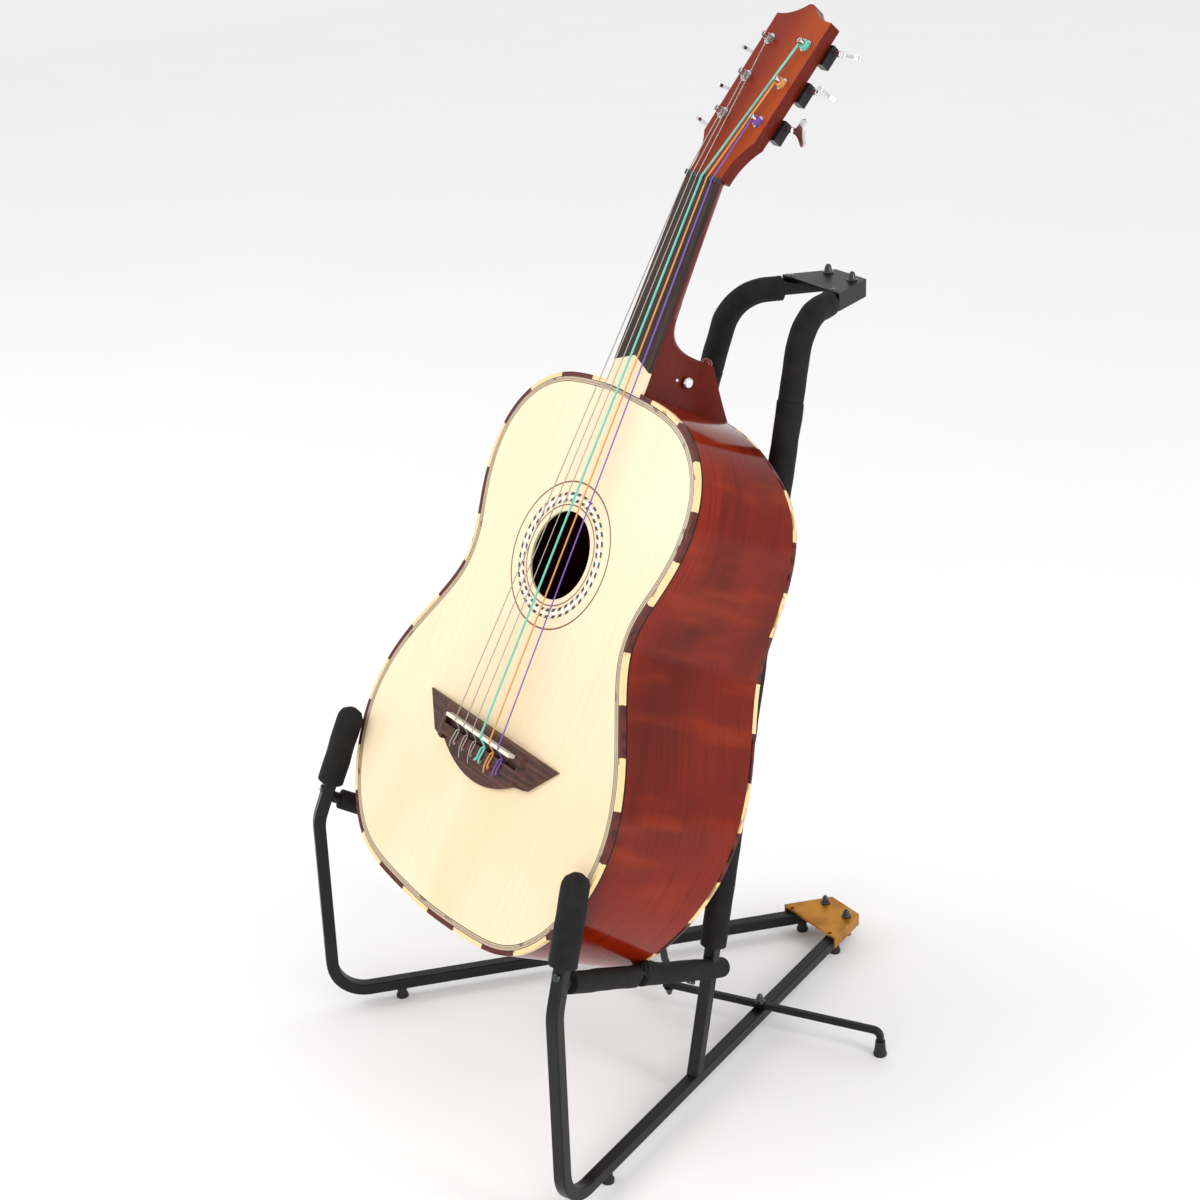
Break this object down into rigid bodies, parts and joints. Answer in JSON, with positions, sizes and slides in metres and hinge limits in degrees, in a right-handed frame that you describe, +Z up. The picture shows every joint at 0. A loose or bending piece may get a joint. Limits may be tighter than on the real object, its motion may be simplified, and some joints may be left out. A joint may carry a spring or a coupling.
{
  "type": "guitar on folding stand",
  "caption": "Deep-bodied six-string acoustic bass guitar with keeled back, leaning on a padded folding two-frame floor stand.",
  "frame": {"origin": "on the floor under the centre of the bounding box", "axes": "+Z up; -Y is the player's side of the instrument (soundboard); +X is the instrument's treble side"},
  "size_m": [0.5406, 0.6346, 1.2242],
  "materials": {
    "black_frame": "satin black powder coat",
    "foam": "matte black closed-cell foam",
    "rubber": "black rubber",
    "gold_plate": "yellow zinc plated steel",
    "black_hardware": "gloss black",
    "steel_hardware": "plain zinc steel",
    "chrome": "polished chrome",
    "soundboard_wood": "pale softwood under gloss lacquer",
    "body_wood": "red-brown wood under gloss lacquer",
    "neck_wood": "orange-brown wood under gloss lacquer",
    "dark_wood": "dark rosewood, satin",
    "trim_wood": "light and dark wood blocks",
    "inner_wood": "bare softwood",
    "bone": "off-white, polished",
    "wound_string": "silver wound",
    "nylon_string": "coloured nylon",
    "black_plastic": "satin black"
  },
  "bodies": {
    "stand": {"base_plate": "gold_plate", "top_plate": "black_frame", "base_pivots": "black_hardware", "top_pivots": "black_hardware"},
    "frame_right": {"main_tube_right": "black_frame", "back_upright_right": "black_frame", "rest_arm_right": "black_frame", "hook_pad_right": "foam", "arm_pad_right": "foam", "back_sleeves_right": "foam", "rail_feet_right": "rubber", "fixings_right": "steel_hardware"},
    "frame_left": {"main_tube_left": "black_frame", "back_upright_left": "black_frame", "rest_arm_left": "black_frame", "hook_pad_left": "foam", "arm_pad_left": "foam", "back_sleeves_left": "foam", "rail_feet_left": "rubber", "fixings_left": "steel_hardware"},
    "stabiliser": {"stabiliser_bar": "black_frame", "stabiliser_foot": "rubber", "spreader_bolt": "black_hardware"},
    "spreader": {"spreader_link": "black_frame", "spreader_rivet": "steel_hardware"},
    "guitar": {"soundboard": "soundboard_wood", "rosette": "trim_wood", "top_purfling": "trim_wood", "top_binding": "trim_wood", "ribs": "body_wood", "back_binding": "trim_wood", "back": "body_wood", "back_ridge": "trim_wood", "linings_and_blocks": "inner_wood", "top_braces": "inner_wood", "neck": "neck_wood", "heel_cap": "trim_wood", "fingerboard": "dark_wood", "top_extension": "soundboard_wood", "headstock": "neck_wood", "nut": "bone", "bridge": "dark_wood", "saddle": "bone", "wound_strings": "wound_string", "nylon_strings": "nylon_string", "strap_button": "chrome", "tuner_bushings": "chrome", "tuner_housings": "black_plastic"},
    "tuner_button_right_1": {"tuner_button_right_1": "chrome"},
    "tuner_post_right_1": {"tuner_post_right_1": "chrome"},
    "tuner_button_right_2": {"tuner_button_right_2": "chrome"},
    "tuner_post_right_2": {"tuner_post_right_2": "chrome"},
    "tuner_button_right_3": {"tuner_button_right_3": "chrome"},
    "tuner_post_right_3": {"tuner_post_right_3": "chrome"},
    "tuner_button_left_1": {"tuner_button_left_1": "chrome"},
    "tuner_post_left_1": {"tuner_post_left_1": "chrome"},
    "tuner_button_left_2": {"tuner_button_left_2": "chrome"},
    "tuner_post_left_2": {"tuner_post_left_2": "chrome"},
    "tuner_button_left_3": {"tuner_button_left_3": "chrome"},
    "tuner_post_left_3": {"tuner_post_left_3": "chrome"}
  },
  "joints": [
    {"name": "guitar_lift", "type": "slide", "parent": "stand", "child": "guitar", "axis": [0, 0, 1], "range_m": [0, 1.2]},
    {"name": "frame_fold_right", "type": "hinge", "parent": "stand", "child": "frame_right", "pos_m": [0.0215, 0.30031, 0.0215], "axis": [0, 0, 1], "range_deg": [-21.5, 0]},
    {"name": "frame_fold_left", "type": "hinge", "parent": "stand", "child": "frame_left", "pos_m": [-0.0215, 0.30031, 0.0215], "axis": [0, 0, 1], "range_deg": [0, 21.5]},
    {"name": "stabiliser_turn", "type": "hinge", "parent": "frame_right", "child": "stabiliser", "pos_m": [0.1047, 0.08911, 0.033], "axis": [0, 0, 1], "range_deg": [0, 70.46]},
    {"name": "spreader_turn", "type": "hinge", "parent": "frame_left", "child": "spreader", "pos_m": [-0.1047, 0.08911, 0.031], "axis": [0, 0, 1], "range_deg": [-70.46, 0]},
    {"name": "button_turn_right_1", "type": "hinge", "parent": "guitar", "child": "tuner_button_right_1", "pos_m": [0.0315, 0.24623, 1.17845], "axis": [1, 0, 0], "continuous": true},
    {"name": "post_turn_right_1", "type": "hinge", "parent": "guitar", "child": "tuner_post_right_1", "pos_m": [0.0315, 0.22255, 1.18591], "axis": [0, -0.7373, 0.6756], "continuous": true},
    {"name": "button_turn_right_2", "type": "hinge", "parent": "guitar", "child": "tuner_button_right_2", "pos_m": [0.0315, 0.21246, 1.14159], "axis": [1, 0, 0], "continuous": true},
    {"name": "post_turn_right_2", "type": "hinge", "parent": "guitar", "child": "tuner_post_right_2", "pos_m": [0.0315, 0.18877, 1.14905], "axis": [0, -0.7373, 0.6756], "continuous": true},
    {"name": "button_turn_right_3", "type": "hinge", "parent": "guitar", "child": "tuner_button_right_3", "pos_m": [0.0315, 0.17868, 1.10473], "axis": [1, 0, 0], "continuous": true},
    {"name": "post_turn_right_3", "type": "hinge", "parent": "guitar", "child": "tuner_post_right_3", "pos_m": [0.0315, 0.15499, 1.11218], "axis": [0, -0.7373, 0.6756], "continuous": true},
    {"name": "button_turn_left_1", "type": "hinge", "parent": "guitar", "child": "tuner_button_left_1", "pos_m": [-0.0315, 0.23205, 1.16297], "axis": [-1, 0, 0], "continuous": true},
    {"name": "post_turn_left_1", "type": "hinge", "parent": "guitar", "child": "tuner_post_left_1", "pos_m": [-0.0315, 0.22255, 1.18591], "axis": [0, -0.7373, 0.6756], "continuous": true},
    {"name": "button_turn_left_2", "type": "hinge", "parent": "guitar", "child": "tuner_button_left_2", "pos_m": [-0.0315, 0.19827, 1.12611], "axis": [-1, 0, 0], "continuous": true},
    {"name": "post_turn_left_2", "type": "hinge", "parent": "guitar", "child": "tuner_post_left_2", "pos_m": [-0.0315, 0.18877, 1.14905], "axis": [0, -0.7373, 0.6756], "continuous": true},
    {"name": "button_turn_left_3", "type": "hinge", "parent": "guitar", "child": "tuner_button_left_3", "pos_m": [-0.0315, 0.16449, 1.08924], "axis": [-1, 0, 0], "continuous": true},
    {"name": "post_turn_left_3", "type": "hinge", "parent": "guitar", "child": "tuner_post_left_3", "pos_m": [-0.0315, 0.15499, 1.11218], "axis": [0, -0.7373, 0.6756], "continuous": true}
  ],
  "couplings": [
    {"joint": "frame_fold_right", "follows": "guitar_lift", "rad_per_m": -0.31271},
    {"joint": "frame_fold_left", "follows": "guitar_lift", "rad_per_m": 0.31271},
    {"joint": "stabiliser_turn", "follows": "guitar_lift", "rad_per_m": 1.0248},
    {"joint": "spreader_turn", "follows": "guitar_lift", "rad_per_m": -1.0248},
    {"joint": "post_turn_right_1", "follows": "button_turn_right_1", "ratio": -0.071429},
    {"joint": "post_turn_right_2", "follows": "button_turn_right_2", "ratio": -0.071429},
    {"joint": "post_turn_right_3", "follows": "button_turn_right_3", "ratio": -0.071429},
    {"joint": "post_turn_left_1", "follows": "button_turn_left_1", "ratio": -0.071429},
    {"joint": "post_turn_left_2", "follows": "button_turn_left_2", "ratio": -0.071429},
    {"joint": "post_turn_left_3", "follows": "button_turn_left_3", "ratio": -0.071429}
  ]
}
